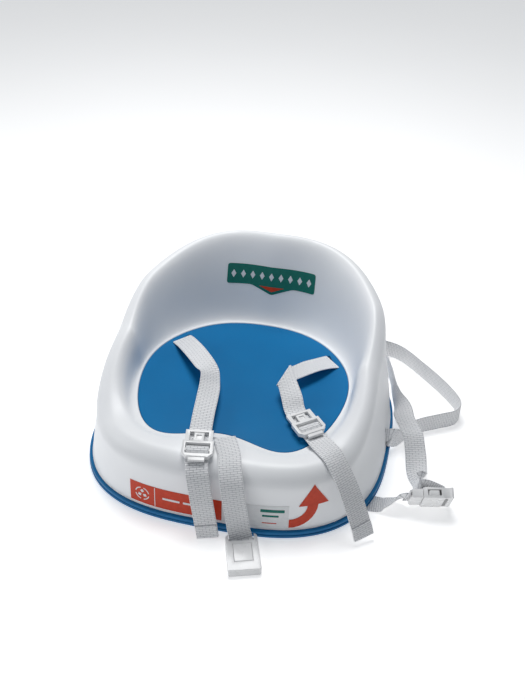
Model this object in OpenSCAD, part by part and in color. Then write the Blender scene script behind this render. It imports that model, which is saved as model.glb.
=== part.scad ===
// Toddler booster seat: a soft foam bucket on a rigid tray, with a three-point
// lap harness and two webbing straps that tie it to a dining chair.
// Origin: centre of the footprint, on the floor. Front is -Y, +Z is up.

/* [Footprint] */
// Width of the footprint across the arms
base_w = 364; // [320:1:400]
// Depth of the footprint, front to back
base_d = 356; // [320:1:400]
// Squareness of the footprint, 2 is an ellipse
base_square = 2.9; // [2.4:0.1:3.4]

/* [Foam shell] */
// Height of the front lip
front_h = 86; // [84:0.5:92]
// Rise from the front lip to the arms
arm_rise = 69; // [50:1:80]
// Further rise from the arms to the top of the back
back_rise = 38; // [20:1:50]
// Height of the seat surface
seat_h = 81.7; // [78:0.1:83]
// Depth of the hollow under the seat, above the tray
hollow_h = 41; // [30:1:44]

/* [Seat pad] */
// Thickness of the seat pad
pad_t = 6; // [4:0.5:8]
// Gap between the pad and the recess that holds it
pad_gap = 0.3; // [0.2:0.05:0.6]

/* [Tray] */
// Height of the tray and grip ring together
tray_h = 9; // [8:0.5:11]
// Height of the grip ring
ring_h = 4.2; // [3.6:0.1:4.6]
// Radius of the screw holes in the tray
screw_hole_r = 2.1; // [1.8:0.05:2.3]

/* [Webbing] */
// Width of the webbing
web_w = 25; // [24:0.5:26]
// Thickness of the webbing
web_t = 1.5; // [1:0.1:1.8]

/* [Buckles] */
// Width of a lap tongue
tongue_w = 34; // [33:0.5:37]
// Thickness of a lap tongue
tongue_t = 5; // [4.5:0.1:6]
// Width of the crotch buckle
crotch_w = 36; // [34:0.5:40]
// Length of the crotch buckle
crotch_l = 50; // [48:0.5:54]
// Thickness of the crotch buckle
crotch_t = 10; // [9.5:0.1:12]
// Width of the chair buckle
clip_w = 34; // [33:0.5:36]
// Thickness of the chair buckle
clip_t = 12; // [11.5:0.1:13]

/* [Hidden] */

// ---- curves ---------------------------------------------------------------
function ease(t) = let(c = min(1, max(0, t))) c * c * (3 - 2 * c);
function unit(v) = v / norm(v);
function spow(v, p) = sign(v) * pow(abs(v), p);
// Superellipse of the footprint, drawn in by `inset`
function foot_point(a, inset = 0) =
    [(base_w / 2 - inset) * spow(cos(a), 2 / base_square),
     (base_d / 2 - inset) * spow(sin(a), 2 / base_square)];
function foot_outline(inset, n = 96) = [for (i = [0 : n - 1]) foot_point(360 * i / n, inset)];
// Bean outline of the seat pad: a short sine and cosine series, concave at the front
function bean_point(a) = let(t = 90 - a)
    [122 * sin(t) - 3 * sin(3 * t),
     -10 + 125 * cos(t) + 4 * cos(2 * t) - 12.5 * cos(3 * t) + 7 * cos(4 * t) - 3 * cos(5 * t)];
function bean_outline(n = 96) = [for (i = [0 : n - 1]) bean_point(360 * i / n)];
// Rim of the shell against the angle above the left-right line, -90 front to 90 back
function rise_angle(a) = asin(sin(a));
function rim_h(s) = front_h + arm_rise * ease((s + 40) / 65) + back_rise * ease(s / 90);
function rim_inset(s) = 33 + 8 * ease((s + 30) / 50) - 16 * ease((s - 30) / 60);
function rim_r(s) = 24 - 8 * ease((s + 70) / 70) - 3 * ease(s / 60);

function bezier(p0, p1, p2, p3, t) = pow(1 - t, 3) * p0 + 3 * pow(1 - t, 2) * t * p1
    + 3 * (1 - t) * t * t * p2 + t * t * t * p3;
function bezier_run(p, steps) = [for (i = [1 : steps]) bezier(p[0], p[1], p[2], p[3], i / steps)];

foot_inset = 5.5;
lip_inset = 4.4;
lip_h = 1.6;
recess_h = seat_h - pad_t;
// Cross-section of the shell as [distance in from the footprint, height]
function shell_section(s, reach) = let(
    top = rim_h(s), inset = rim_inset(s), r = rim_r(s),
    foot = [foot_inset, tray_h + lip_h + 0.6],
    outer = [inset - r, top - r],
    crest = [inset, top],
    lean = outer[0] - foot_inset,
    climb = outer[1] - foot[1],
    span = reach - inset,
    drop = top - seat_h)
    concat(
        [[lip_inset, tray_h], [lip_inset, tray_h + lip_h], foot],
        bezier_run([foot, foot + [0.18 * lean, 0.35 * climb],
                    outer - [0.18 * lean, 0.35 * climb], outer], 6),
        bezier_run([outer, outer + [0, 0.55 * r], crest - [0.55 * r, 0], crest], 5),
        bezier_run([crest, crest + [0.9 * r + 0.12 * span, -0.05 * drop],
                    [inset + 0.5 * span, seat_h + 0.05 * drop], [reach, seat_h]], 10),
        [[reach, recess_h]]);

// ---- webbing --------------------------------------------------------------
// A ribbon follows stations [point, direction across the webbing]; the stations are
// joined by a smooth curve and the webbing keeps its width square to its run. At a fold
// the station has a third value, and its direction is the real half width, kept aslant.
function spline(p0, p1, p2, p3, t) = 0.5 * ((2 * p1) + (p2 - p0) * t
    + (2 * p0 - 5 * p1 + 4 * p2 - p3) * t * t + (3 * p1 - p0 - 3 * p2 + p3) * t * t * t);
function along(list, i, t) = let(last = len(list) - 1)
    spline(list[max(0, i - 1)], list[i], list[min(last, i + 1)], list[min(last, i + 2)], t);
function resample(list, steps) = concat(
    [for (i = [0 : len(list) - 2], j = [0 : steps - 1]) along(list, i, j / steps)],
    [list[len(list) - 1]]);
function run_dir(path, i) = unit(path[min(len(path) - 1, i + 1)] - path[max(0, i - 1)]);

module ribbon(stations, steps = 4, w = web_w, t = web_t) {
    path = resample([for (s = stations) s[0]], steps);
    across = resample([for (s = stations) len(s) > 2 ? s[1] : unit(s[1]) * w / 2], steps);
    slant = resample([for (s = stations) len(s) > 2 ? 1 : 0], steps);
    last = len(path) - 1;
    corners = [for (i = [0 : last])
        let(d = run_dir(path, i),
            k = min(1, max(0, slant[i])),
            square = across[i] - (across[i] * d) * d,
            side = across[i] * ((1 - k) * w / 2 / norm(square) + k),
            up = unit(cross(side, d)) * t / 2)
        each [path[i] - side - up, path[i] + side - up, path[i] + side + up, path[i] - side + up]];
    faces = concat([[3, 2, 1, 0]],
        [for (i = [0 : last - 1], k = [0 : 3], half = [0, 1])
            let(a = 4 * i + k, b = 4 * i + (k + 1) % 4)
            half == 0 ? [a, b, a + 4] : [b, b + 4, a + 4]],
        [[4 * last, 4 * last + 1, 4 * last + 2, 4 * last + 3]]);
    polyhedron(points = corners, faces = faces);
}

// ---- shell, pad and base --------------------------------------------------
lap_slit = [97, 52, seat_h];
lap_slit_angle = 59.3;
crotch_slit = [4.6, -119, 0];
slit_w = 28;
slit_t = 3.4;
side_slot = [170, -1, 22.5];
rear_slot_near = [104, 160, 22.5];
rear_slot_far = [58, 168, 22.5];
side_bar = [136, -1];
rear_bar_near = [80, 118.4];
rear_bar_far = [50, 130.4];
cavity_inset = 36;
cavity_top = tray_h + hollow_h;
boss_r = 14;
short_slot_x = 104;
short_web_y = -96;

module at_lap_slit(side) {
    translate([side * lap_slit[0], lap_slit[1], 0])
        rotate(side > 0 ? 180 - lap_slit_angle : lap_slit_angle) children();
}
module slit_cutters(z0, z1) {
    for (side = [-1, 1])
        at_lap_slit(side) translate([-slit_w / 2, -slit_t / 2, z0]) cube([slit_w, slit_t, z1 - z0]);
}
module crotch_cutter(z0, z1) {
    translate(crotch_slit + [-slit_w / 2, -slit_t / 2, z0]) cube([slit_w, slit_t, z1 - z0]);
}
// Upright slot through the wall of the shell for a chair strap
module wall_slot(place, heading) {
    translate(place) rotate(heading) translate([-48, -slit_t / 2, -slit_w / 2 + 0.6])
        cube([88, slit_t, slit_w]);
}

module foam_shell() {
    n = 72;
    sections = [for (i = [0 : n - 1])
        let(a = 360 * i / n, foot = foot_point(a), seat = bean_point(a),
            reach = norm(seat - foot), d = (seat - foot) / reach,
            s = shell_section(rise_angle(a), reach))
        [for (p = s) [foot[0] + d[0] * p[0], foot[1] + d[1] * p[0], p[1]]]];
    rings = len(sections[0]);
    color("white") difference() {
        polyhedron(
            points = [for (r = [0 : rings - 1], i = [0 : n - 1]) sections[i][r]],
            faces = concat(
                [[for (i = [0 : n - 1]) i]],
                [for (r = [0 : rings - 2], i = [0 : n - 1], half = [0, 1])
                    let(a = r * n + i, b = r * n + (i + 1) % n)
                    half == 0 ? [a, a + n, b] : [b, a + n, b + n]],
                [[for (i = [0 : n - 1]) rings * n - 1 - i]]));
        translate([0, 0, tray_h - 1]) linear_extrude(hollow_h + 1) polygon(foot_outline(cavity_inset));
        slit_cutters(cavity_top - 1, seat_h + 20);
        crotch_cutter(cavity_top - 1, seat_h + 20);
        wall_slot(side_slot, 0);
        wall_slot(rear_slot_near, 60);
        wall_slot(rear_slot_far, 78);
    }
}

module seat_pad() {
    color("deepskyblue") difference() {
        translate([0, 0, recess_h + 0.1]) linear_extrude(pad_t - 0.1)
            offset(delta = -pad_gap) polygon(bean_outline());
        slit_cutters(recess_h - 1, seat_h + 1);
    }
}

frame_t = 3;
frame_floor = cavity_top - 0.3;
lug_y = 9;
bar_r = 2.5;
bar_drop = 12;
// Four screws near the corners and two near the front and back edges
screw_places = concat([for (sx = [-1, 1], sy = [-1, 1]) [sx * 86, sy * 84]],
    [for (s = [-1, 1]) [s * 40, s * 118]]);

// Two ears below the deck that carry an anchor bar lying along X
module lug_pair(gap) {
    for (s = [-1, 1]) translate([s * (gap / 2 + 2), 0, 0]) difference() {
        translate([-2, -lug_y / 2, frame_floor - frame_t - bar_drop - 5])
            cube([4, lug_y, bar_drop + 6]);
        translate([-3, 0, frame_floor - frame_t - bar_drop]) rotate([0, 90, 0])
            cylinder(r = bar_r + 0.05, h = 6, $fn = 32);
    }
}

module inner_frame() {
    color("gainsboro") difference() {
        union() {
            translate([0, 0, frame_floor - frame_t]) linear_extrude(frame_t)
                polygon(foot_outline(cavity_inset + 0.6));
            difference() {
                translate([0, 0, tray_h - 1.6]) linear_extrude(frame_floor - tray_h)
                    polygon(foot_outline(cavity_inset + 0.6));
                translate([0, 0, tray_h - 3]) linear_extrude(frame_floor - tray_h + 4)
                    polygon(foot_outline(cavity_inset + 0.6 + frame_t));
            }
            for (side = [-1, 1]) at_lap_slit(side) lug_pair(slit_w + 2);
            translate(crotch_slit) lug_pair(slit_w + 2);
            for (p = screw_places) translate([p[0], p[1], tray_h - 1.6])
                cylinder(r = 5, h = frame_floor - tray_h, $fn = 32);
        }
        slit_cutters(frame_floor - frame_t - 1, frame_floor + 1);
        crotch_cutter(frame_floor - frame_t - 1, frame_floor + 1);
        wall_slot(side_slot, 0);
        wall_slot(rear_slot_near, 60);
        wall_slot(rear_slot_far, 78);
        for (p = screw_places) translate([p[0], p[1], 0]) cylinder(r = 1.6, h = 24, $fn = 24);
    }
}

module anchor_bar(length) {
    translate([-length / 2, 0, frame_floor - frame_t - bar_drop]) rotate([0, 90, 0])
        cylinder(r = bar_r, h = length, $fn = 32);
}
module lap_anchor_bar(side) {
    color("silver") at_lap_slit(side) anchor_bar(slit_w + 10);
}
module lap_anchor_bar_left() { lap_anchor_bar(-1); }
module lap_anchor_bar_right() { lap_anchor_bar(1); }
module crotch_anchor_bar() {
    color("silver") translate(crotch_slit) anchor_bar(slit_w + 10);
}

module base_tray() {
    color("dodgerblue") difference() {
        translate([0, 0, ring_h]) linear_extrude(tray_h - ring_h) polygon(foot_outline(0.6));
        translate([0, 0, ring_h + 3]) linear_extrude(tray_h) polygon(foot_outline(cavity_inset - 2));
        for (p = screw_places) translate([p[0], p[1], 0])
            cylinder(r = screw_hole_r, h = tray_h, $fn = 32);
        translate([short_slot_x - slit_t / 2, short_web_y - slit_w / 2, 0])
            cube([slit_t + 3, slit_w, tray_h + 1]);
    }
    // Boss that props the middle of the tray off the chair
    color("dodgerblue") cylinder(r = boss_r, h = ring_h + 0.5, $fn = 64);
}

module grip_ring() {
    color("deepskyblue") difference() {
        union() {
            linear_extrude(ring_h - 0.7) polygon(foot_outline(0));
            linear_extrude(ring_h) polygon(foot_outline(1.6));
        }
        translate([0, 0, -1]) linear_extrude(ring_h + 2) polygon(foot_outline(16));
        translate([short_slot_x, short_web_y - slit_w / 2, -1]) cube([base_w / 2, slit_w, 3.6]);
    }
}

module base_screws() {
    color("silver") for (p = screw_places) translate([p[0], p[1], 0]) {
        translate([0, 0, ring_h - 2.4]) cylinder(r = 4, h = 2.4, $fn = 32);
        translate([0, 0, ring_h - 0.2]) cylinder(r = 1.55, h = 16, $fn = 24);
    }
}

// ---- tethers: the hidden ends of the harness webbing ---------------------
// Each hangs from the slit to a sewn loop round its anchor bar
module tether(top) {
    eye_z = frame_floor - frame_t - bar_drop;
    eye_r = bar_r + 0.1 + web_t;
    difference() {
        union() {
            translate([-web_w / 2, -web_t / 2, eye_z + bar_r])
                cube([web_w, web_t, top - eye_z - bar_r]);
            translate([-web_w / 2, 0, eye_z]) rotate([0, 90, 0])
                cylinder(r = eye_r, h = web_w, $fn = 32);
        }
        translate([-web_w, 0, eye_z]) rotate([0, 90, 0])
            cylinder(r = bar_r + 0.05, h = 2 * web_w, $fn = 32);
    }
}
module lap_tether(side) {
    color("whitesmoke") at_lap_slit(side) tether(seat_h - 1.5);
}
module lap_tether_left() { lap_tether(-1); }
module lap_tether_right() { lap_tether(1); }
module crotch_tether() {
    color("whitesmoke") translate(crotch_slit) tether(seat_h + 0.5);
}

// ---- lap straps -----------------------------------------------------------
left_strap_stations = [
    [[-97, 52, 82.6], [0.51, 0.86, 0]],
    [[-84, 34, 91], [0.48, 0.87, 0.05]],
    [[-66, 10, 98], [0.3, 0.95, 0.05]],
    [[-48, -14, 102], [0.15, 0.98, 0]],
    [[-37.5, -28, 102], [0.25, 0.95, -0.15]],
    [[-32, -47, 99], [0.6, 0.75, -0.2]],
    [[-29, -68, 97], [0.87, 0.48, -0.1]],
    [[-26, -94, 95], [0.98, 0.18, 0]],
    [[-22.6, -119, 91.5], [0.98, 0.18, 0]],
    [[-18.3, -144, 88], [0.98, 0.18, 0]],
    [[-15.7, -159, 85.9], [0.98, 0.18, 0]],
    [[-11, -174, 77], [0.98, 0.18, 0]],
    [[-4.5, -183, 50], [0.98, 0.18, 0]],
    [[0, -187, 26], [0.98, 0.18, 0]],
    [[4, -190, 2], [0.98, 0.18, 0]]];
// The right strap folds over on itself; these stations lie before, on and after the fold
right_before = [[75, 21.5, 94], [-9.75, 7.75, 0], 1];
right_under = [[49, -10.5, 97.5], [3.45, 20.5, 0], 1];
right_turn = [[47.6, -10.3, 98.9], [3.45, 20.5, 0], 1];
right_over = [[49, -10.5, 100.3], [3.45, 20.5, 0], 1];
right_after = [[64, -41.1, 95.2], [11.2, 5.5, 0], 1];
function between(a, b, u) = a + u * (b - a);
right_strap_stations = [
    [[97, 52, 82.6], [-0.51, 0.86, 0]],
    [[87, 38, 88.5], [-0.75, 0.66, 0]],
    right_before,
    for (u = [0.55, 0.82, 0.94]) between(right_before, right_under, u),
    right_under, right_turn, right_over,
    for (u = [0.06, 0.18, 0.45]) between(right_over, right_after, u),
    right_after,
    [[70, -54.5, 89.3], [0.82, 0.57, 0]],
    [[76, -63.8, 87.7], [0.78, 0.62, 0]],
    [[88, -78.2, 87.4], [0.77, 0.64, 0]],
    [[104, -97.3, 87.4], [0.77, 0.64, 0]],
    [[112, -106.8, 88.6], [0.77, 0.63, 0.08]],
    [[119, -114.5, 89.6], [0.77, 0.63, 0.1]],
    [[126, -121.5, 88.6], [0.78, 0.6, 0]],
    [[134, -129, 82.5], [0.8, 0.55, -0.2]],
    [[146, -138, 66], [0.8, 0.45, -0.38]],
    [[157, -145, 44], [0.8, 0.48, -0.34]],
    [[166, -150, 22], [0.8, 0.52, -0.28]],
    [[171, -153, 7], [0.82, 0.54, -0.2]]];

module lap_strap_left() {
    color("whitesmoke") ribbon(left_strap_stations);
}
module lap_strap_right() {
    color("whitesmoke") ribbon(right_strap_stations);
}

// Lap tongue, flat side down on the webbing, prong towards -Y of its own frame.
// The webbing runs along Y through the window, over the low bar.
frame_l = 22;
prong_l = 17;
window_w = 27;
window_l = 14.2;
module tongue() {
    difference() {
        union() {
            linear_extrude(tongue_t) polygon([
                [-tongue_w / 2, frame_l / 2], [tongue_w / 2, frame_l / 2],
                [tongue_w / 2, -frame_l / 2 + 5], [tongue_w / 2 - 5, -frame_l / 2],
                [-tongue_w / 2 + 5, -frame_l / 2], [-tongue_w / 2, -frame_l / 2 + 5]]);
            translate([-9, -frame_l / 2 - 4.5, 0.8]) cube([18, 6, 3.4]);
            for (s = [-1, 1]) translate([s * 12.8 - 2.4, frame_l / 2 - 1, 0.6])
                cube([4.8, prong_l, 3.2]);
            translate([-15.2, frame_l / 2 + prong_l - 4, 0.6]) cube([30.4, 3, 3.2]);
            translate([-5.5, frame_l / 2 - 1, 1.4]) cube([11, prong_l - 4, 2.4]);
        }
        translate([-window_w / 2, -frame_l / 2 + 4.4, -1]) cube([window_w, window_l, tongue_t + 2]);
        translate([-3, frame_l / 2 + 3, 2.6]) cube([6, 6, 3]);
    }
    // The low bar that the webbing turns over
    translate([-window_w / 2 - 0.5, -frame_l / 2 + 9.4, 0.4]) cube([window_w + 1, 4.2, 2.4]);
}
left_tongue_place = [-17.3, -150, 88.6];
left_tongue_turn = 9.8;
left_tongue_tilt = 8;
right_tongue_place = [93.5, -84.8, 88.5];
right_tongue_turn = 40;
module lap_tongue_left() {
    color("white") translate(left_tongue_place)
        rotate([left_tongue_tilt, 0, left_tongue_turn]) tongue();
}
module lap_tongue_right() {
    color("white") translate(right_tongue_place) rotate(right_tongue_turn) tongue();
}

// ---- crotch strap and buckle ---------------------------------------------
// The buckle lies on the floor; its own frame has the strap bar at Y = 0 and the
// body running to Y = -crotch_l, turned by crotch_turn about Z.
crotch_place = [40, -184, 0];
crotch_turn = 19;
crotch_bar_y = -5;
crotch_bar_z = 5;
crotch_bar_r = 2;
crotch_dir = [cos(crotch_turn), sin(crotch_turn), 0];
crotch_eye = crotch_place + crotch_bar_y * [-sin(crotch_turn), cos(crotch_turn), 0]
    + [0, 0, crotch_bar_z];
crotch_strap_stations = [
    [[5.1, -121, 87.6], [1, 0, 0]],
    [[11.6, -134, 88], [1, 0.05, 0]],
    [[17.8, -148, 87.6], [0.99, 0.1, 0]],
    [[22, -162, 84.6], [0.98, 0.14, 0]],
    [[27, -175, 74], [0.97, 0.18, 0]],
    [[31, -181, 56], [0.96, 0.22, 0]],
    [[35, -184, 36], [0.95, 0.28, 0]],
    [[38, -186, 18], [0.945, 0.32, 0]],
    [crotch_eye + [0, 0, crotch_bar_r + 0.9], crotch_dir]];

module in_crotch_frame() {
    translate(crotch_place) rotate(crotch_turn) children();
}
module crotch_strap() {
    color("whitesmoke") difference() {
        union() {
            ribbon(crotch_strap_stations);
            in_crotch_frame() translate([-web_w / 2, crotch_bar_y, crotch_bar_z])
                rotate([0, 90, 0]) cylinder(r = crotch_bar_r + 0.05 + 1.2, h = web_w, $fn = 32);
        }
        in_crotch_frame() translate([-web_w, crotch_bar_y, crotch_bar_z])
            rotate([0, 90, 0]) cylinder(r = crotch_bar_r + 0.05, h = 2 * web_w, $fn = 32);
    }
}

module crotch_plan() {
    hull() {
        for (s = [-1, 1]) translate([s * (crotch_w / 2 - 5.5), -5]) circle(r = 5, $fn = 32);
        for (s = [-1, 1]) translate([s * (crotch_w / 2 - 2), -crotch_l + 2]) circle(r = 2, $fn = 32);
    }
}
button_w = 20;
button_l = 24;
button_y = -14;
entry_y = -13;
entry_l = 32;
module button_window(extra = 0) {
    translate([-button_w / 2 - extra, button_y - button_l - extra, 0])
        cube([button_w + 2 * extra, button_l + 2 * extra, crotch_t + 2]);
}
module crotch_buckle_body() {
    color("white") in_crotch_frame() difference() {
        linear_extrude(crotch_t - 3) crotch_plan();
        translate([-14, -9.5, -1]) cube([28, 12, crotch_t]);
        translate([-15, -crotch_l + 2.5, 2]) cube([30, crotch_l - 14, crotch_t]);
        // The tongues enter from both sides
        translate([-crotch_w, entry_y - entry_l, 2.2]) cube([2 * crotch_w, entry_l, 3.6]);
    }
    color("white") in_crotch_frame() {
        translate([-14.5, crotch_bar_y, crotch_bar_z]) rotate([0, 90, 0])
            cylinder(r = crotch_bar_r, h = 29, $fn = 32);
        difference() {
            translate([0, button_y - button_l / 2, 1.5]) cylinder(r = 4.5, h = 3, $fn = 32);
            translate([0, button_y - button_l / 2, 2]) cylinder(r = 3.4, h = 4, $fn = 32);
        }
    }
}
module crotch_buckle_cover() {
    color("white") in_crotch_frame() difference() {
        translate([0, 0, crotch_t - 3]) linear_extrude(3) crotch_plan();
        translate([-14, -9.5, 0]) cube([28, 12, crotch_t + 1]);
        button_window(0.3);
    }
}
module crotch_button() {
    color("white") in_crotch_frame() {
        translate([-button_w / 2, button_y - button_l, crotch_t - 3]) cube([button_w, button_l, 3.2]);
        translate([0, button_y - button_l / 2, crotch_t - 4.5]) cylinder(r = 2, h = 2, $fn = 32);
    }
}
module crotch_button_spring() {
    color("silver") in_crotch_frame() translate([0, button_y - button_l / 2, 2]) difference() {
        cylinder(r = 3.1, h = crotch_t - 5.05, $fn = 32);
        translate([0, 0, -1]) cylinder(r = 2.5, h = crotch_t, $fn = 32);
    }
}

// ---- chair straps and their side-release clip ----------------------------
// The clip stands on its long edge, leaning forward. Its own X runs from the male
// end to the female end, its own Z is across the webbing.
clip_place = [213, -92, 18.4];
clip_turn = 13.4;
clip_lean = 26;
loop_stations = [
    [[50.9, 134.6, 22.5], [0, 0, 1]],
    [[58, 168, 22.5], [0, 0, 1]],
    [[62, 186, 21], [0, 0, 1]],
    [[76, 197, 16], [0, 0, 1]],
    [[108, 201, 13.2], [0, 0, 1]],
    [[146, 196, 13], [0, 0, 1]],
    [[176, 186, 13], [0, 0, 1]],
    [[208, 156, 13], [0, 0, 1]],
    [[234, 128, 13], [0, 0, 1]],
    [[253, 103, 13], [0, 0, 1]],
    [[261, 84, 13], [0, 0, 1]],
    [[256, 68, 13], [0, 0, 1]],
    [[238, 56, 13], [0, 0, 1]],
    [[214, 41, 13], [0, 0, 1]],
    [[200, 27, 13], [0, 0, 1]],
    [[191, 12, 13], [0, 0, 1]],
    [[185.5, 5, 17.6], [0, 0, 1]],
    [[182, 1, 22.4], [0, 0, 1]],
    [[174, -1, 23], [0, 0, 1]],
    [[140, -1, 22.5], [0, 0, 1]]];
clip_x = [cos(clip_turn), sin(clip_turn), 0];
clip_y = [-sin(clip_turn) * cos(clip_lean), cos(clip_turn) * cos(clip_lean), sin(clip_lean)];
clip_z = [sin(clip_turn) * sin(clip_lean), -cos(clip_turn) * sin(clip_lean), cos(clip_lean)];
function at_clip(p) = clip_place + p[0] * clip_x + p[1] * clip_y + p[2] * clip_z;
long_stations = [
    [[82.1, 122, 22.5], [0, 0, 1]],
    [[104, 160, 22.5], [0, 0, 1]],
    [[114, 177, 21], [0, 0, 1]],
    [[132, 184, 16], [0, 0, 1]],
    [[152, 172, 13.5], [0, 0, 1]],
    [[166, 140, 13.5], [0, 0, 1]],
    [[175, 105, 14], [0.1, 0, 1]],
    [[183, 76, 18.5], [0.3, 0.1, 0.95]],
    [[190, 52, 25], [0.8, 0.25, 0.45]],
    [[194, 34, 28.6], [0.96, 0.25, 0.05]],
    [[202, 16, 29], [0.97, 0.25, 0]],
    [[208, 2, 28.4], [0.97, 0.25, 0]],
    [[214, -18, 17], [0.96, 0.25, 0.1]],
    [[218, -38, 10], [0.88, 0.25, 0.4]],
    [[223, -54, 12], [0.55, 0.1, 0.83]],
    [at_clip([15, 19, -2]), clip_z],
    [at_clip([24, 15.5, 0]), clip_z],
    [at_clip([32, 12, 0]), clip_z],
    [at_clip([39, 8, 0]), clip_z],
    [at_clip([40.6, 2, 0]), clip_z]];
short_stations = [
    [[short_slot_x, short_web_y, 16], [0, -1, 0]],
    [[short_slot_x, short_web_y, 6], [0, -1, 0]],
    [[short_slot_x + 4, short_web_y, 2.2], [0, -1, 0]],
    [[short_slot_x + 14, short_web_y, 1.7], [0, -1, 0]],
    [[176, short_web_y, 1.7], [0, -1, 0]],
    [[188, -95, 5.5], [0, -0.96, 0.28]],
    [[199, -94, 12], [0.05, -0.8, 0.6]],
    [at_clip([-6, 0, 0]), clip_z],
    [at_clip([-1, 0, 0]), clip_z],
    [at_clip([5, 0, 0]), clip_z]];

module chair_strap_loop() {
    color("whitesmoke") ribbon(loop_stations);
}
module chair_strap_long() {
    color("whitesmoke") ribbon(long_stations);
}
module chair_strap_short() {
    color("whitesmoke") ribbon(short_stations);
}

module in_clip_frame() {
    translate(clip_place) rotate([0, 0, clip_turn]) rotate([clip_lean, 0, 0]) children();
}
male_l = 14;
clip_l = 48;
clip_wall = 2.4;
prong_t = 6;
prong_travel = 2;
module clip_plate(outline, thickness) {
    rotate([90, 0, 0]) translate([0, 0, -thickness / 2]) linear_extrude(thickness) polygon(outline);
}
// One long edge of the female half, waisted behind the squeeze windows
function clip_edge(z, side) = [[male_l + 0.3, z - side], [male_l + 3, z], [36, z], [39, z - 1.6 * side],
    [44, z - 1.6 * side], [46, z], [clip_l, z - 0.5 * side]];
function reverse(list) = [for (i = [len(list) - 1 : -1 : 0]) list[i]];
module webbing_pocket(x0, x1) {
    translate([x0, -1.1, -web_w / 2 - 0.4]) cube([x1 - x0, 2.2, web_w + 0.8]);
}
module chair_clip_male() {
    z = clip_w / 2 - 3.5;
    color("white") in_clip_frame() difference() {
        union() {
            clip_plate([[0, -z + 3], [2, -z], [male_l, -z - 1], [male_l, z + 1], [2, z], [0, z - 3]],
                clip_t - 2);
            translate([male_l - 1, -3, -2.5]) cube([19, 6, 5]);
        }
        webbing_pocket(-1, 7);
    }
}
module chair_clip_female() {
    z = clip_w / 2;
    color("white") in_clip_frame() difference() {
        clip_plate(concat(clip_edge(-z, -1), reverse(clip_edge(z, 1))), clip_t);
        translate([male_l - 1, -clip_t / 2 + clip_wall, -z + clip_wall])
            cube([22, clip_t - 2 * clip_wall, clip_w - 2 * clip_wall]);
        translate([male_l + 5, -prong_t / 2 - 0.5, -clip_w]) cube([15.4, prong_t + 1, 2 * clip_w]);
        translate([38.6, -clip_t, -web_w / 2 - 0.4]) cube([4, 2 * clip_t, web_w + 0.8]);
    }
}
module clip_prong() {
    x = male_l + 0.4;
    rotate([90, 0, 0]) translate([0, 0, -prong_t / 2]) linear_extrude(prong_t) polygon([
        [x, 9], [x + 18.5, 9], [x + 18.5, 14.6], [x + 17, 16.4], [x + 7, 16.4], [x + 5.5, 14.6],
        [x + 5.5, 12], [x, 12]]);
}
module chair_clip_prong_upper() {
    color("gainsboro") in_clip_frame() clip_prong();
}
module chair_clip_prong_lower() {
    color("gainsboro") in_clip_frame() mirror([0, 0, 1]) clip_prong();
}

// Steel bars inside the shell that hold the chair straps
module chair_anchor_bars() {
    color("silver") {
        for (p = [side_bar, rear_bar_near, rear_bar_far])
            translate([p[0], p[1], tray_h - 1]) cylinder(r = bar_r, h = 30, $fn = 32);
        translate([short_slot_x, short_web_y - slit_w / 2, 19.5]) rotate([-90, 0, 0])
            cylinder(r = bar_r, h = slit_w, $fn = 32);
    }
}

foam_shell();
seat_pad();
inner_frame();
base_tray();
grip_ring();
base_screws();
lap_anchor_bar_left();
lap_anchor_bar_right();
crotch_anchor_bar();
chair_anchor_bars();
lap_tether_left();
lap_tether_right();
crotch_tether();
lap_strap_left();
lap_strap_right();
lap_tongue_left();
lap_tongue_right();
crotch_strap();
crotch_buckle_body();
crotch_buckle_cover();
crotch_button();
crotch_button_spring();
chair_strap_loop();
chair_strap_long();
chair_strap_short();
chair_clip_male();
chair_clip_female();
chair_clip_prong_upper();
chair_clip_prong_lower();
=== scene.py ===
"""The booster seat's visual model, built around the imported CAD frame.

The foam shell, the pad, the tray and the webbing are finer meshes in the same places as
their CAD nodes, and the moulded buckles are the CAD nodes themselves with softened edges.
"""
import math

import bmesh
import bpy
import numpy as np
from mathutils import Matrix, Vector
from mathutils.bvhtree import BVHTree
from mathutils.geometry import delaunay_2d_cdt


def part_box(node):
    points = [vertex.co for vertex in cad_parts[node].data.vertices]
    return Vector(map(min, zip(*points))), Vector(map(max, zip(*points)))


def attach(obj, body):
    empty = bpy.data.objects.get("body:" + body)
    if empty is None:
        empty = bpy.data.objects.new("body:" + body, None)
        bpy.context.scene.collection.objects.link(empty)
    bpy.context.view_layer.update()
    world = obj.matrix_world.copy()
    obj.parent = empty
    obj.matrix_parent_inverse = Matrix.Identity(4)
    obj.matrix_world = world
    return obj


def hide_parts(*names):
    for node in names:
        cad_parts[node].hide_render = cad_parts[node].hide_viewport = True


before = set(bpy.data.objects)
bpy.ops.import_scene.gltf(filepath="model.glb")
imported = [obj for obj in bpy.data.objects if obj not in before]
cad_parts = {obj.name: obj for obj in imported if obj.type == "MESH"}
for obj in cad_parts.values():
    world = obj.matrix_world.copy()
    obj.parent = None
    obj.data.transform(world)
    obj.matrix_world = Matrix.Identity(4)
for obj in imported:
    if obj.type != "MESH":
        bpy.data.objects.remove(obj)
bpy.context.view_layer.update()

# ---- Sizes, in metres and degrees -------------------------------------------
ring_low, ring_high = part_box("grip_ring")
shell_low, shell_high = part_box("foam_shell")
pad_low, pad_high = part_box("seat_pad")
BASE_W = ring_high.x - ring_low.x
BASE_D = ring_high.y - ring_low.y
BASE_SQUARE = 2.9
RING_H = ring_high.z
TRAY_H = shell_low.z
SEAT_H = pad_high.z
RECESS_H = pad_low.z - 0.0001
HOLLOW_TOP = TRAY_H + 0.041
HOLLOW_INSET = 0.036
FRONT_H = 0.086
ARM_RISE = 0.069
BACK_RISE = shell_high.z - FRONT_H - ARM_RISE
AROUND = 240

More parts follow.
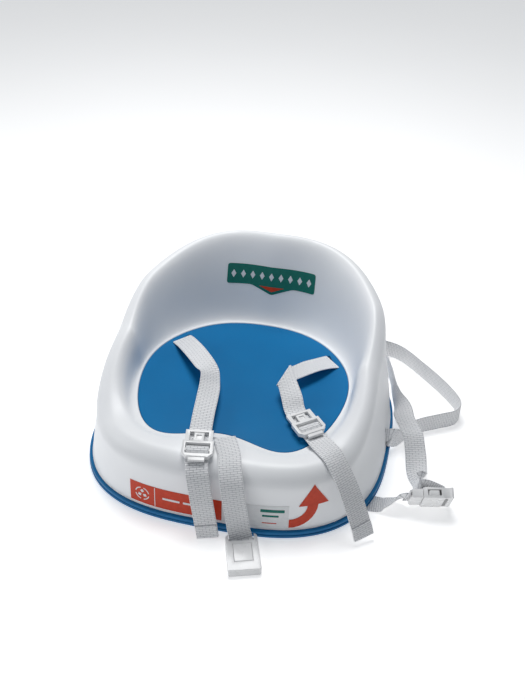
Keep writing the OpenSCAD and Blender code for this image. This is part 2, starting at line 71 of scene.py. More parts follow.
SLIT_L = 0.028
SLIT_W = 0.0034
LAP_SLIT = (0.097, 0.052)
LAP_SLIT_TURN = 59.3
CROTCH_SLIT = (0.0046, -0.119)
WALL_SLOTS = (((0.170, -0.001), 0), ((0.104, 0.160), 60), ((0.058, 0.168), 78))
WALL_SLOT_Z = 0.0231
SHORT_SLOT = (0.104, -0.096)
SCREWS = [(sx * 0.086, sy * 0.084) for sx in (-1, 1) for sy in (-1, 1)] + [(-0.040, -0.118), (0.040, 0.118)]
SCREW_HOLE_R = 0.0021
BOSS_R = 0.014

WEB_W = 0.025
WEB_T = 0.0015
RIB_PITCH = 0.0024
RUN_STEP = RIB_PITCH / 4
SPAN_STEPS = 24
HEM_L = 0.016
STITCH_L = 0.0022
STITCH_R = 0.00022
STITCH_RISE = 0.00022


# ---- Small maths ------------------------------------------------------------
def ease(t):
    c = np.clip(t, 0, 1)
    return c * c * (3 - 2 * c)


def unit(v):
    v = np.asarray(v, float)
    return v / np.linalg.norm(v, axis=-1, keepdims=True)


def bezier(p0, p1, p2, p3, t):
    return (1 - t) ** 3 * p0 + 3 * (1 - t) ** 2 * t * p1 + 3 * (1 - t) * t * t * p2 + t ** 3 * p3


def bezier_run(points, steps):
    p0, p1, p2, p3 = (np.asarray(p, float) for p in points)
    return [bezier(p0, p1, p2, p3, i / steps) for i in range(1, steps + 1)]


def foot_points(angles, inset=0.0):
    """The footprint's superellipse at these angles, drawn in by inset."""
    power = 2 / BASE_SQUARE
    c, s = np.cos(np.radians(angles)), np.sin(np.radians(angles))
    return np.stack([(BASE_W / 2 - inset) * np.sign(c) * np.abs(c) ** power,
                     (BASE_D / 2 - inset) * np.sign(s) * np.abs(s) ** power], -1)


def bean_points(angles):
    """The pad's bean outline, concave at the front."""
    t = np.radians(90 - np.asarray(angles, float))
    x = 0.122 * np.sin(t) - 0.003 * np.sin(3 * t)
    y = (-0.010 + 0.125 * np.cos(t) + 0.004 * np.cos(2 * t) - 0.0125 * np.cos(3 * t)
         + 0.007 * np.cos(4 * t) - 0.003 * np.cos(5 * t))
    return np.stack([x, y], -1)


def even_angles(count):
    """Angles that space the footprint's points evenly along its edge."""
    fine = np.linspace(0, 360, 14401)
    steps = np.linalg.norm(np.diff(foot_points(fine), axis=0), axis=1)
    run = np.concatenate([[0], np.cumsum(steps)])
    return np.interp(np.arange(count) * run[-1] / count, run, fine)


ANGLES = even_angles(AROUND)


def flat_ring(points, z):
    return np.column_stack([points, np.full(len(points), z)])


# ---- Mesh building ----------------------------------------------------------
def make_object(name, points, faces, smooth=True):
    mesh = bpy.data.meshes.new(name)
    mesh.from_pydata([tuple(p) for p in points], [], faces)
    mesh.validate()
    mesh.polygons.foreach_set("use_smooth", [smooth] * len(mesh.polygons))
    obj = bpy.data.objects.new(name, mesh)
    bpy.context.scene.collection.objects.link(obj)
    return obj


def loft(name, rings, caps=True, closed=False):
    """A skin through rings of equal point counts, capped or closed on itself."""
    n = len(rings[0])
    points = np.concatenate(rings)
    faces = []
    spans = len(rings) if closed else len(rings) - 1
    for r in range(spans):
        a, b = r * n, ((r + 1) % len(rings)) * n
        faces += [(a + i, a + (i + 1) % n, b + (i + 1) % n, b + i) for i in range(n)]
    if caps:
        faces.append(tuple(range(n - 1, -1, -1)))
        faces.append(tuple(range((len(rings) - 1) * n, len(rings) * n)))
    obj = make_object(name, points, faces)
    face_outwards(obj)
    return obj


def face_outwards(obj):
    bm = bmesh.new()
    bm.from_mesh(obj.data)
    bmesh.ops.recalc_face_normals(bm, faces=bm.faces)
    bm.to_mesh(obj.data)
    bm.free()


def join(name, objects):
    """One object that holds all of these meshes."""
    bm = bmesh.new()
    for obj in objects:
        bm.from_mesh(obj.data)
        bpy.data.objects.remove(obj)
    mesh = bpy.data.meshes.new(name)
    bm.to_mesh(mesh)
    bm.free()
    obj = bpy.data.objects.new(name, mesh)
    bpy.context.scene.collection.objects.link(obj)
    return obj


def block(size, matrix):
    """A box cutter of this size, centred on the matrix."""
    bm = bmesh.new()
    bmesh.ops.create_cube(bm, size=1, matrix=matrix @ Matrix.Diagonal((*size, 1)))
    mesh = bpy.data.meshes.new("cutter")
    bm.to_mesh(mesh)
    bm.free()
    obj = bpy.data.objects.new("cutter", mesh)
    bpy.context.scene.collection.objects.link(obj)
    return obj


def rod(radius, z0, z1, x, y, sides=40):
    bm = bmesh.new()
    place = Matrix.Translation((x, y, (z0 + z1) / 2))
    bmesh.ops.create_cone(bm, cap_ends=True, segments=sides, radius1=radius, radius2=radius,
                          depth=z1 - z0, matrix=place)
    mesh = bpy.data.meshes.new("rod")
    bm.to_mesh(mesh)
    bm.free()
    obj = bpy.data.objects.new("rod", mesh)
    bpy.context.scene.collection.objects.link(obj)
    return obj


def apply_modifiers(obj):
    graph = bpy.context.evaluated_depsgraph_get()
    mesh = bpy.data.meshes.new_from_object(obj.evaluated_get(graph))
    obj.modifiers.clear()
    old = obj.data
    obj.data = mesh
    bpy.data.meshes.remove(old)


def cut(obj, cutters):
    """Takes the cutters out of obj."""
    tool = join("cutters", cutters)
    face_outwards(tool)
    step = obj.modifiers.new("cut", "BOOLEAN")
    step.operation = "DIFFERENCE"
    step.solver = "EXACT"
    step.object = tool
    apply_modifiers(obj)
    bpy.data.objects.remove(tool)


def crease(obj, angle=32):
    """Smooth shading that keeps edges sharper than angle."""
    mesh = obj.data
    mesh.polygons.foreach_set("use_smooth", [True] * len(mesh.polygons))
    mesh.set_sharp_from_angle(angle=math.radians(angle))


def soften(obj, radius, segments=3):
    """Rounds the moulded edges of a CAD node without touching its mesh."""
    weld = obj.modifiers.new("weld", "WELD")
    weld.merge_threshold = 0.00001
    flatten = obj.modifiers.new("flatten", "DECIMATE")
    flatten.decimate_type = "DISSOLVE"
    flatten.angle_limit = math.radians(1)
    bevel = obj.modifiers.new("bevel", "BEVEL")
    bevel.width = radius
    bevel.segments = segments
    bevel.limit_method = "ANGLE"
    bevel.angle_limit = math.radians(30)
    bevel.use_clamp_overlap = True
    bevel.harden_normals = True
    obj.data.polygons.foreach_set("use_smooth", [True] * len(obj.data.polygons))


# ---- Materials --------------------------------------------------------------
class Shader:
    """A material with a Principled shader and short ways to add nodes to it."""

    def __init__(self, name, roughness, **sockets):
        self.material = bpy.data.materials.new(name)
        self.material.use_nodes = True
        self.tree = self.material.node_tree
        self.surface = self.tree.nodes["Principled BSDF"]
        self.surface.inputs["Roughness"].default_value = roughness
        for socket, value in sockets.items():
            self.surface.inputs[socket.replace("_", " ")].default_value = value

    def add(self, kind, **settings):
        node = self.tree.nodes.new(kind)
        for key, value in settings.items():
            setattr(node, key, value)
        return node

    def link(self, source, target):
        self.tree.links.new(source, target)

    def place(self):
        return self.add("ShaderNodeTexCoord").outputs["Object"]

    def noise(self, scale, detail=3.0, vector=None):
        node = self.add("ShaderNodeTexNoise")
        node.inputs["Scale"].default_value = scale
        node.inputs["Detail"].default_value = detail
        self.link(vector or self.place(), node.inputs["Vector"])
        return node.outputs["Fac"]

    def ramp(self, source, stops):
        node = self.add("ShaderNodeValToRGB")
        for i, (position, colour) in enumerate(stops):
            stop = node.color_ramp.elements[i] if i < 2 else node.color_ramp.elements.new(position)
            stop.position = position
            stop.color = colour if len(colour) == 4 else (*colour, 1)
        self.link(source, node.inputs["Fac"])
        return node.outputs["Color"]

    def math(self, operation, a, b=None):
        node = self.add("ShaderNodeMath", operation=operation)
        for i, value in enumerate((a, b)):
            if value is None:
                continue
            if isinstance(value, (int, float)):
                node.inputs[i].default_value = value
            else:
                self.link(value, node.inputs[i])
        return node.outputs["Value"]

    def vary(self, source, low, high):
        """The source, 0 to 1, mapped from low to high."""
        node = self.add("ShaderNodeMapRange")
        node.inputs["To Min"].default_value = low
        node.inputs["To Max"].default_value = high
        self.link(source, node.inputs["Value"])
        return node.outputs["Result"]

    def bump(self, heights):
        """Adds bumps, given as (height, strength, depth in metres), one on the other."""
        last = None
        for height, strength, depth in heights:
            node = self.add("ShaderNodeBump")
            node.inputs["Strength"].default_value = strength
            node.inputs["Distance"].default_value = depth
            self.link(height, node.inputs["Height"])
            if last is not None:
                self.link(last, node.inputs["Normal"])
            last = node.outputs["Normal"]
        self.link(last, self.surface.inputs["Normal"])

    def colour(self, source):
        self.link(source, self.surface.inputs["Base Color"])

    def roughness(self, source):
        self.link(source, self.surface.inputs["Roughness"])


def foam_material():
    """Satin integral-skin foam: soft mottling, an orange-peel skin and faint scuffs."""
    s = Shader("foam_skin", 0.4, Subsurface_Weight=0.08, Subsurface_Scale=0.004)
    s.surface.inputs["Subsurface Radius"].default_value = (1, 1, 1)
    s.colour(s.ramp(s.noise(9, 4), [(0.3, (0.87, 0.88, 0.90)), (0.7, (0.91, 0.92, 0.93))]))
    s.roughness(s.vary(s.noise(38, 6), 0.34, 0.5))
    s.bump([(s.noise(26, 3), 0.12, 0.0006), (s.noise(1500, 2), 0.12, 0.00006)])
    return s.material


def pad_material():
    """Matte blue moulded pad with a fine leathery grain."""
    s = Shader("pad_blue", 0.5, Specular_IOR_Level=0.14)
    s.colour(s.ramp(s.noise(14, 5), [(0.25, (0.000, 0.140, 0.350)), (0.75, (0.000, 0.162, 0.395))]))
    s.roughness(s.vary(s.noise(55, 5), 0.44, 0.6))
    grain = s.add("ShaderNodeTexVoronoi", feature="SMOOTH_F1")
    grain.inputs["Scale"].default_value = 1100
    s.link(s.place(), grain.inputs["Vector"])
    s.bump([(s.noise(20, 3), 0.1, 0.0006), (grain.outputs["Distance"], 0.16, 0.00012)])
    return s.material


def plastic_material(name, low, high, roughness=0.3, grain=900, depth=0.00004, **sockets):
    """Moulded plastic with a slight flow mottling and a spark-eroded grain."""
    s = Shader(name, roughness, **sockets)
    s.colour(s.ramp(s.noise(30, 4), [(0.3, low), (0.7, high)]))
    s.roughness(s.vary(s.noise(70, 5), roughness * 0.85, roughness * 1.25))
    s.bump([(s.noise(60, 3), 0.1, 0.0003), (s.noise(grain, 2), 0.15, depth)])
    return s.material


def steel_material():
    """Zinc-plated steel with fine drawn lines."""
    s = Shader("zinc_steel", 0.3, Metallic=1.0)
    stretch = s.add("ShaderNodeMapping")
    stretch.inputs["Scale"].default_value = (60, 900, 900)
    s.link(s.place(), stretch.inputs["Vector"])
    lines = s.noise(1, 3, stretch.outputs["Vector"])
    s.colour(s.ramp(lines, [(0.3, (0.55, 0.56, 0.58)), (0.7, (0.68, 0.68, 0.69))]))
    s.roughness(s.vary(lines, 0.22, 0.42))
    s.bump([(lines, 0.1, 0.00003)])
    return s.material


def webbing_material():
    """Woven polyester: offset yarns across the ribs, with painted shade in the grooves between them, from
    each ribbon's own weave place.
    """
    s = Shader("webbing_white", 0.62, Sheen_Weight=0.25, Sheen_Roughness=0.4)
    weave = s.add("ShaderNodeAttribute", attribute_type="GEOMETRY", attribute_name="weave")
    brick = s.add("ShaderNodeTexBrick", offset=0.5, squash=1.0)
    brick.inputs["Scale"].default_value = 1
    brick.inputs["Brick Width"].default_value = 0.0075
    brick.inputs["Row Height"].default_value = RIB_PITCH
    brick.inputs["Mortar Size"].default_value = 0.00035
    brick.inputs["Mortar Smooth"].default_value = 1.0
    brick.inputs["Color1"].default_value = (0.88, 0.89, 0.90, 1)
    brick.inputs["Color2"].default_value = (0.92, 0.92, 0.93, 1)
    # The mortar colour is painted shade: it darkens the grooves between the ribs, where the yarn is as white
    # as elsewhere.
    brick.inputs["Mortar"].default_value = (0.42, 0.43, 0.46, 1)
    s.link(weave.outputs["Vector"], brick.inputs["Vector"])
    stretch = s.add("ShaderNodeMapping")
    stretch.inputs["Scale"].default_value = (2600, 500, 500)
    s.link(weave.outputs["Vector"], stretch.inputs["Vector"])
    fibres = s.noise(1, 2, stretch.outputs["Vector"])
    mix = s.add("ShaderNodeMixRGB", blend_type="MULTIPLY")
    mix.inputs["Fac"].default_value = 0.25
    s.link(brick.outputs["Color"], mix.inputs["Color1"])
    s.link(s.ramp(fibres, [(0.3, (0.8, 0.8, 0.82)), (0.65, (1, 1, 1))]), mix.inputs["Color2"])
    s.colour(mix.outputs["Color"])
    yarn = s.math("SUBTRACT", 1, brick.outputs["Fac"])
    s.bump([(yarn, 0.9, 0.0005), (fibres, 0.25, 0.0001)])
    return s.material


def thread_material():
    s = Shader("thread_white", 0.55, Sheen_Weight=0.3)
    twist = s.noise(2400, 2)
    s.colour(s.ramp(twist, [(0.3, (0.70, 0.71, 0.74)), (0.7, (0.88, 0.88, 0.9))]))
    s.bump([(twist, 0.3, 0.00006)])
    return s.material


def print_material(name, low, high):
    """Printed vinyl label: faint ink mottling under a satin film."""
    s = Shader(name, 0.35, Specular_IOR_Level=0.25)
    s.colour(s.ramp(s.noise(220, 4), [(0.3, low), (0.7, high)]))
    s.roughness(s.vary(s.noise(90, 4), 0.3, 0.45))
    s.bump([(s.noise(500, 2), 0.08, 0.00005)])
    return s.material


def floor_material():
    s = Shader("floor_pale", 0.7, Emission_Strength=0.46)
    s.surface.inputs["Emission Color"].default_value = (1, 1, 1, 1)
    s.colour(s.ramp(s.noise(3, 2), [(0.3, (0.90, 0.90, 0.90)), (0.7, (0.92, 0.92, 0.92))]))
    return s.material


FOAM = foam_material()
PAD = pad_material()
TRAY = plastic_material("tray_blue", (0.000, 0.140, 0.35), (0.001, 0.165, 0.40), 0.38,
                        Specular_IOR_Level=0.25)
GRIP = plastic_material("grip_blue", (0.000, 0.150, 0.37), (0.001, 0.175, 0.42), 0.55, 700, 0.00008)
FRAME = plastic_material("frame_grey", (0.60, 0.60, 0.60), (0.68, 0.68, 0.68), 0.5)
BUCKLE = plastic_material("buckle_white", (0.80, 0.80, 0.80), (0.86, 0.86, 0.86), 0.26, 1400, 0.00002)
STEEL = steel_material()
WEBBING = webbing_material()
THREAD = thread_material()
GREEN = print_material("print_green", (0.002, 0.150, 0.115), (0.006, 0.175, 0.135))
RED = print_material("print_red", (0.52, 0.040, 0.010), (0.60, 0.050, 0.015))
WHITE_PRINT = print_material("print_white", (0.72, 0.73, 0.74), (0.78, 0.79, 0.80))


def finish_piece(obj, material, body, replaced=()):
    obj.data.materials.clear()
    obj.data.materials.append(material)
    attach(obj, body)
    if replaced:
        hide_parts(*replaced)
    return obj


# ---- Foam shell and pad -----------------------------------------------------
EDGE_R = 0.0013


def shell_section(s, reach):
    """The shell's section as (distance in from the footprint, height), from lip to pad."""
    top = FRONT_H + ARM_RISE * ease((s + 40) / 65) + BACK_RISE * ease(s / 90)
    inset = 0.033 + 0.008 * ease((s + 30) / 50) - 0.016 * ease((s - 30) / 60)
    r = 0.024 - 0.008 * ease((s + 70) / 70) - 0.003 * ease(s / 60)
    lip = 0.0044
    foot = np.array([0.0055, TRAY_H + 0.0022])
    outer = np.array([inset - r, top - r])
    crest = np.array([inset, top])
    lean = 0.18 * (outer[0] - foot[0])
    climb = 0.35 * (outer[1] - foot[1])
    span, drop = reach - inset, top - SEAT_H
    pull = np.array([lean, climb])
    edge = np.array([reach - EDGE_R, SEAT_H])
    lip_run = [(lip + 0.0004, TRAY_H), (lip, TRAY_H + 0.0004), (lip, TRAY_H + 0.0012),
               (lip + 0.0004, TRAY_H + 0.0017), (foot[0] - 0.0003, TRAY_H + 0.0018), foot]
    rounded = [edge + EDGE_R * np.array([math.sin(t), math.cos(t) - 1]) for t in (0.5, 1.0, math.pi / 2)]
    return np.array(
        lip_run
        + bezier_run((foot, foot + pull, outer - pull, outer), 18)
        + bezier_run((outer, outer + (0, 0.55 * r), crest - (0.55 * r, 0), crest), 10)
        + bezier_run((crest, crest + (0.9 * r + 0.12 * span, -0.05 * drop),
                      (inset + 0.5 * span, SEAT_H + 0.05 * drop), edge), 30)
        + rounded + [(reach, RECESS_H)])


def slit_cutter(x, y, turn, z0, z1):
    place = Matrix.Translation((x, y, (z0 + z1) / 2)) @ Matrix.Rotation(math.radians(turn), 4, "Z")
    return block((SLIT_L, SLIT_W, z1 - z0), place)


def lap_slit_cutters(z0, z1):
    return [slit_cutter(side * LAP_SLIT[0], LAP_SLIT[1], -side * LAP_SLIT_TURN, z0, z1) for side in (-1, 1)]


def make_shell():
    feet = foot_points(ANGLES)
    seats = bean_points(ANGLES)
    reach = np.linalg.norm(seats - feet, axis=1)
    inward = (seats - feet) / reach[:, None]
    rise = np.degrees(np.arcsin(np.sin(np.radians(ANGLES))))
    sections = np.array([shell_section(s, d) for s, d in zip(rise, reach)])
    rings = [flat_ring(foot_points(ANGLES, HOLLOW_INSET), HOLLOW_TOP),
             flat_ring(foot_points(ANGLES, HOLLOW_INSET), TRAY_H)]
    for k in range(sections.shape[1]):
        plan = feet + inward * sections[:, k, :1]
        rings.append(np.column_stack([plan, sections[:, k, 1]]))
    shell = loft("shell_skin", rings)
    cutters = lap_slit_cutters(HOLLOW_TOP - 0.002, SEAT_H + 0.01)
    cutters.append(slit_cutter(*CROTCH_SLIT, 0, HOLLOW_TOP - 0.002, SEAT_H + 0.01))
    for (x, y), heading in WALL_SLOTS:
        turn = Matrix.Rotation(math.radians(heading), 4, "Z")
        place = Matrix.Translation((x, y, WALL_SLOT_Z)) @ turn @ Matrix.Translation((-0.004, 0, 0))
        cutters.append(block((0.088, SLIT_W, SLIT_L), place))
    cut(shell, cutters)
    crease(shell)
    finish_piece(shell, FOAM, "seat", ["foam_shell"])
    return shell


PAD_GAP = 0.0003
PAD_CROWN = 0.0007
PAD_EDGE_R = 0.0012


def make_pad():
    outline = bean_points(ANGLES)
    ahead = np.roll(outline, -1, 0) - np.roll(outline, 1, 0)
    inward = unit(np.column_stack([-ahead[:, 1], ahead[:, 0]]))
    centre = np.array([0, -0.010])
    top = SEAT_H - 0.0003

    def ring(inset, z):
        return flat_ring(outline + inward * inset, z)

    rings = [ring(PAD_GAP, pad_low.z)]
    rings += [ring(PAD_GAP + PAD_EDGE_R * (1 - math.sin(t)), top - PAD_EDGE_R * (1 - math.cos(t)))
              for t in (math.pi / 2, 1.0, 0.5, 0.0)]
    inner = outline + inward * (PAD_GAP + PAD_EDGE_R)
    for k in np.linspace(0.03, 0.97, 22):
        plan = centre + (inner - centre) * (1 - k)
        rings.append(flat_ring(plan, top + PAD_CROWN * (1 - (1 - k) ** 6)))
    pad = loft("pad_insert", rings)
    cut(pad, lap_slit_cutters(pad_low.z - 0.002, SEAT_H + 0.01))
    crease(pad)
    finish_piece(pad, PAD, "seat", ["seat_pad"])
    return pad


# ---- Tray and grip ring -----------------------------------------------------
def foot_loft(name, profile, **options):
    return loft(name, [flat_ring(foot_points(ANGLES, inset), z) for inset, z in profile], **options)


def make_tray():
    low, high = RING_H, TRAY_H
    floor_z = RING_H + 0.003
    tray = foot_loft("tray_skin", [
        (0.0016, low), (0.0009, low + 0.0003), (0.0006, low + 0.0009), (0.0006, high - 0.0014),
        (0.0009, high - 0.0006), (0.0017, high), (HOLLOW_INSET - 0.002, high),
        (HOLLOW_INSET - 0.002, floor_z)])
    holes = [rod(SCREW_HOLE_R, 0, TRAY_H, x, y) for x, y in SCREWS]
    slot_place = Matrix.Translation((SHORT_SLOT[0] + 0.0015, SHORT_SLOT[1], TRAY_H / 2))
    holes.append(block((SLIT_W + 0.003, SLIT_L, 2 * TRAY_H), slot_place))
    cut(tray, holes)
    boss_profile = [(BOSS_R - 0.001, 0), (BOSS_R - 0.0003, 0.0003), (BOSS_R, 0.001),
                    (BOSS_R, RING_H + 0.0005)]
    turns = np.arange(64) * 2 * math.pi / 64
    circle = np.column_stack([np.cos(turns), np.sin(turns)])
    boss = loft("boss", [flat_ring(circle * r, z) for r, z in boss_profile])
    tray = join("tray_skin", [tray, boss])
    crease(tray)
    return finish_piece(tray, TRAY, "seat", ["base_tray"])


def make_grip_ring():
    """A soft ring whose underside has three shallow tread grooves."""
    width, groove, deep = 0.016, 0.0012, 0.0008
    profile = [(width, RING_H - 0.0008), (width, 0.0006), (width - 0.0006, 0)]
    for k in (3, 2, 1):
        at = width * k / 4
        profile += [(at + groove, 0), (at + groove / 2, deep), (at - groove / 2, deep), (at - groove, 0)]
    profile += [(0.0012, 0), (0.0004, 0.0003), (0, 0.0011), (0, RING_H - 0.0016), (0.0004, RING_H - 0.0009),
                (0.0012, RING_H - 0.0007), (0.0016, RING_H - 0.0003), (0.0022, RING_H)]
    ring = foot_loft("ring_skin", profile, caps=False, closed=True)
    place = Matrix.Translation((SHORT_SLOT[0] + BASE_W / 4, SHORT_SLOT[1], 0.0008))
    cut(ring, [block((BASE_W / 2, SLIT_L, 0.0036), place)])
    crease(ring)
    return finish_piece(ring, GRIP, "seat", ["grip_ring"])


# ---- Webbing ----------------------------------------------------------------
def spline(p0, p1, p2, p3, t):
    return 0.5 * ((2 * p1) + (p2 - p0) * t + (2 * p0 - 5 * p1 + 4 * p2 - p3) * t * t
                  + (3 * p1 - p0 - 3 * p2 + p3) * t ** 3)


def resample(rows, steps):
    """Smooth points through the rows, steps of them to each span."""
    rows = np.asarray(rows, float)
    last = len(rows) - 1
    out = [spline(rows[max(0, i - 1)], rows[i], rows[i + 1], rows[min(last, i + 2)], j / steps)
           for i in range(last) for j in range(steps)]
    return np.array(out + [rows[last]])


def even_run(stations):
    """The ribbon's centreline at even steps, with its half width and how far that is kept aslant."""
    path = resample([s[0] for s in stations], SPAN_STEPS)
    halves = [(*s[1], 1) if len(s) > 2 else (*unit(s[1]) * WEB_W / 2, 0) for s in stations]
    across = resample(halves, SPAN_STEPS)
    run = np.concatenate([[0], np.cumsum(np.linalg.norm(np.diff(path, axis=0), axis=1))])
    at = np.linspace(0, run[-1], max(4, int(run[-1] / RUN_STEP)) + 1)
    path = np.column_stack([np.interp(at, run, path[:, k]) for k in range(3)])
    across = np.column_stack([np.interp(at, run, across[:, k]) for k in range(4)])
    return path, across, at


def ribbon_frame(path, across):
    """Along, across and up directions; across is longer than 1 where a fold lies aslant."""
    ahead = unit(np.gradient(path, axis=0))
    half, aslant = across[:, :3], np.clip(across[:, 3:], 0, 1)
    square = unit(half - ahead * np.sum(half * ahead, axis=1, keepdims=True))
    side = (1 - aslant) * square + aslant * half / (WEB_W / 2)
    return ahead, side, unit(np.cross(side, ahead))


# Half the section of the webbing from edge to middle: (share of the half width, share of
# the half thickness, share of the rib height)
WEB_SECTION = ((1.0, 0.0, 0), (0.985, 0.55, 0), (0.95, 0.92, 0.1), (0.90, 1.0, 0.25), (0.86, 0.86, 0.6),
               (0.80, 0.84, 1), (0.55, 0.84, 1), (0.28, 0.84, 1), (0.0, 0.84, 1))
RIB_H = 0.00016


def web_loop(width, thick):
    """The webbing's closed section: across places, heights and rib shares."""
    top = [(u * width / 2, h * thick / 2, rib) for u, h, rib in WEB_SECTION]
    top += [(-u, h, rib) for u, h, rib in reversed(top[:-1])]
    under = [(u, -h, -rib) for u, h, rib in reversed(top[1:-1])]
    return np.array(top + under)


def ribbon(name, stations, thick=WEB_T, lift=0.0, start=0.0, grow=0.0):
    """Ribbed webbing along the stations, from start metres on, lifted off its line."""
    path, across, run = even_run(stations)
    ahead, side, up = ribbon_frame(path, across)
    keep = run >= start - 1e-9
    path, ahead, side, up, run = path[keep], ahead[keep], side[keep], up[keep], run[keep]
    loop = web_loop(WEB_W + grow, thick)
    weft = run[:, None] + np.sum(side * ahead, axis=1, keepdims=True) * loop[None, :, 0]
    wave = RIB_H * np.cos(weft * 2 * math.pi / RIB_PITCH)
    heights = loop[None, :, 1] + loop[None, :, 2] * wave + lift
    points = (path[:, None, :] + side[:, None, :] * loop[None, :, :1] + up[:, None, :] * heights[:, :, None])
    rows, n = points.shape[:2]
    faces = [(r * n + i, r * n + (i + 1) % n, (r + 1) * n + (i + 1) % n, (r + 1) * n + i)
             for r in range(rows - 1) for i in range(n)]
    half = n // 2
    for base, flip in ((0, False), ((rows - 1) * n, True)):
        strips = [(base + i, base + i + 1, base + n - i - 1, base + (n - i) % n) for i in range(half)]
        strips = [tuple(dict.fromkeys(q)) for q in strips]
        faces += [q[::-1] if flip else q for q in strips if len(q) > 2]
    obj = make_object(name, points.reshape(-1, 3), faces)
    face_outwards(obj)
    weave = obj.data.attributes.new("weave", "FLOAT_VECTOR", "POINT")
    place = np.zeros((rows, n, 3), np.float32)
    place[:, :, 0] = loop[None, :, 0]
    place[:, :, 1] = weft
    place[:, :, 2] = np.sign(loop[None, :, 1])
    weave.data.foreach_set("vector", place.reshape(-1))
    crease(obj, 60)
    return obj


def stitch(points, normal):
    """Small bent thread capsules at the points, each lying along its own direction."""
    made = []
    for place, along in points:
        side = unit(np.cross(normal, along))
        rings = []
        for t in np.linspace(-1, 1, 7):
            swell = STITCH_R * math.sqrt(max(0.0, 1 - (abs(t) ** 4))) + STITCH_R * 0.15
            centre = place + along * t * STITCH_L / 2 + normal * (STITCH_RISE * (1 - t * t))
            rings.append(np.array([centre + swell * (math.cos(a) * side + math.sin(a) * normal)
                                   for a in np.arange(6) * math.pi / 3]))
        made.append(loft("stitch", rings))
    return made


def stitch_lines(name, stations, at, offsets, lift, body):
    """Sewn rows across the webbing at each of these distances along it."""
    path, over, run = even_run(stations)
    _, side, up = ribbon_frame(path, over)
    made = []
    for distance in at:
        i = int(np.argmin(np.abs(run - distance)))
        spots = [(path[i] + side[i] * u + up[i] * lift, side[i]) for u in offsets]
        made += stitch(spots, up[i] * math.copysign(1, lift))
    obj = join(name, made)
    crease(obj, 60)
    return finish_piece(obj, THREAD, body)


def strap(name, stations, body, node, hemmed=False):
    """A webbing strap that replaces its CAD node; a hemmed one has its end turned and sewn."""
    obj = ribbon(name, stations)
    if hemmed:
        length = even_run(stations)[2][-1]
        hem = ribbon("hem", stations, lift=-WEB_T * 0.97, start=length - HEM_L, grow=-0.0006)
        rows = [length - HEM_L + 0.002, length - HEM_L + 0.0042, length - 0.003]
        across = np.arange(-0.0105, 0.0106, 0.003)
        stitch_lines(name + "_stitches", stations, rows, across, WEB_T * 0.47, body)
        obj = join(name, [obj, hem])
    return finish_piece(obj, WEBBING, body, [node])


LAP_LEFT = (
    ((-0.0970, 0.0520, 0.0826), (0.51, 0.86, 0)),
    ((-0.0840, 0.0340, 0.0910), (0.48, 0.87, 0.05)),
    ((-0.0660, 0.0100, 0.0980), (0.3, 0.95, 0.05)),
    ((-0.0480, -0.0140, 0.1020), (0.15, 0.98, 0)),
    ((-0.0375, -0.0280, 0.1020), (0.25, 0.95, -0.15)),
    ((-0.0320, -0.0470, 0.0990), (0.6, 0.75, -0.2)),
    ((-0.0290, -0.0680, 0.0970), (0.87, 0.48, -0.1)),
    ((-0.0260, -0.0940, 0.0950), (0.98, 0.18, 0)),
    ((-0.0226, -0.1190, 0.0915), (0.98, 0.18, 0)),
    ((-0.0183, -0.1440, 0.0880), (0.98, 0.18, 0)),
    ((-0.0157, -0.1590, 0.0859), (0.98, 0.18, 0)),
    ((-0.0110, -0.1740, 0.0770), (0.98, 0.18, 0)),
    ((-0.0045, -0.1830, 0.0500), (0.98, 0.18, 0)),
    ((0.0000, -0.1870, 0.0260), (0.98, 0.18, 0)),
    ((0.0040, -0.1900, 0.0020), (0.98, 0.18, 0)))

# The right strap folds over on itself along a slanting line; its stations hold the real half
# width, kept aslant, which the third value marks.
FOLD_HALF = (0.00345, 0.0205, 0)
BEFORE_FOLD = ((0.0750, 0.0215, 0.0940), (-0.00975, 0.00775, 0), 1)
UNDER_FOLD = ((0.0490, -0.0105, 0.0975), FOLD_HALF, 1)
OVER_FOLD = ((0.0490, -0.0105, 0.1003), FOLD_HALF, 1)
AFTER_FOLD = ((0.0640, -0.0411, 0.0952), (0.0112, 0.0055, 0), 1)


def between(a, b, shares):
    """Fold stations at these shares of the way from a to b."""
    return [tuple(tuple(x + u * (y - x) for x, y in zip(p, q)) for p, q in zip(a[:2], b[:2])) + (1,)
            for u in shares]


LAP_RIGHT = (
    ((0.0970, 0.0520, 0.0826), (-0.51, 0.86, 0)),
    ((0.0870, 0.0380, 0.0885), (-0.75, 0.66, 0)),
    BEFORE_FOLD, *between(BEFORE_FOLD, UNDER_FOLD, (0.55, 0.82, 0.94)), UNDER_FOLD,
    ((0.0476, -0.0103, 0.0989), FOLD_HALF, 1),
    OVER_FOLD, *between(OVER_FOLD, AFTER_FOLD, (0.06, 0.18, 0.45)), AFTER_FOLD,
    ((0.0700, -0.0545, 0.0893), (0.82, 0.57, 0)),
    ((0.0760, -0.0638, 0.0877), (0.78, 0.62, 0)),
    ((0.0880, -0.0782, 0.0874), (0.77, 0.64, 0)),
    ((0.1040, -0.0973, 0.0874), (0.77, 0.64, 0)),
    ((0.1120, -0.1068, 0.0886), (0.77, 0.63, 0.08)),
    ((0.1190, -0.1145, 0.0896), (0.77, 0.63, 0.1)),
    ((0.1260, -0.1215, 0.0886), (0.78, 0.6, 0)),
    ((0.1340, -0.1290, 0.0825), (0.8, 0.55, -0.2)),
    ((0.1460, -0.1380, 0.0660), (0.8, 0.45, -0.38)),
    ((0.1570, -0.1450, 0.0440), (0.8, 0.48, -0.34)),
    ((0.1660, -0.1500, 0.0220), (0.8, 0.52, -0.28)),
    ((0.1710, -0.1530, 0.0070), (0.82, 0.54, -0.2)))

CROTCH_PLACE = Vector((0.040, -0.184, 0))
CROTCH_TURN = 19
CROTCH_BAR = (-0.005, 0.005)
CROTCH_BAR_R = 0.002
BAR_GAP = 0.0009
in_crotch = Matrix.Translation(CROTCH_PLACE) @ Matrix.Rotation(math.radians(CROTCH_TURN), 4, "Z")
crotch_across = tuple(in_crotch.to_3x3() @ Vector((1, 0, 0)))


